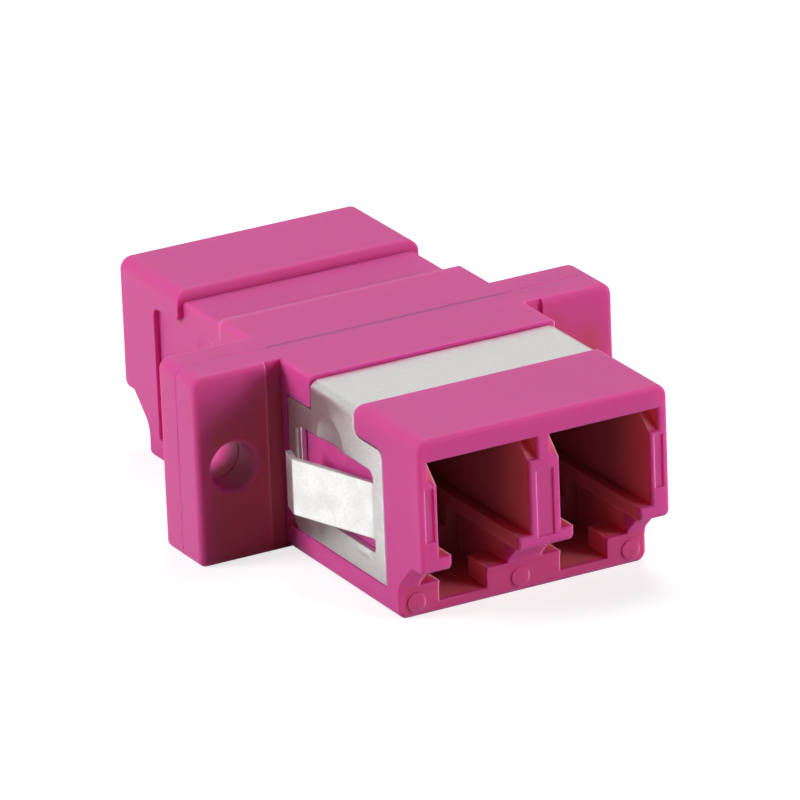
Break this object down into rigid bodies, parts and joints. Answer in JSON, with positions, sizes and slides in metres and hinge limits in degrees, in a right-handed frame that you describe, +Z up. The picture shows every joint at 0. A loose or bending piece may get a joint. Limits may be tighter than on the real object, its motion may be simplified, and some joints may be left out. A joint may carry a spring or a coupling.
{
  "type": "lc fibre adapter",
  "caption": "Duplex fibre adapter with square plug ports at both ends, a mounting flange with screw ears and a sprung metal panel clip.",
  "frame": {"origin": "midway between the two ear holes, on the front face of the flange", "axes": "+X to the right across the ports, +Y from the front ports to the rear ports, +Z up from the latch side to the strap side"},
  "size_m": [0.022, 0.0287, 0.0093],
  "materials": {
    "housing": "satin moulded",
    "clip": "satin spring strip",
    "sleeve": "smooth"
  },
  "bodies": {
    "root": {"front_housing": "housing", "rear_housing": "housing", "panel_clip": "clip", "split_sleeve_left": "sleeve", "split_sleeve_right": "sleeve"}
  },
  "joints": []
}
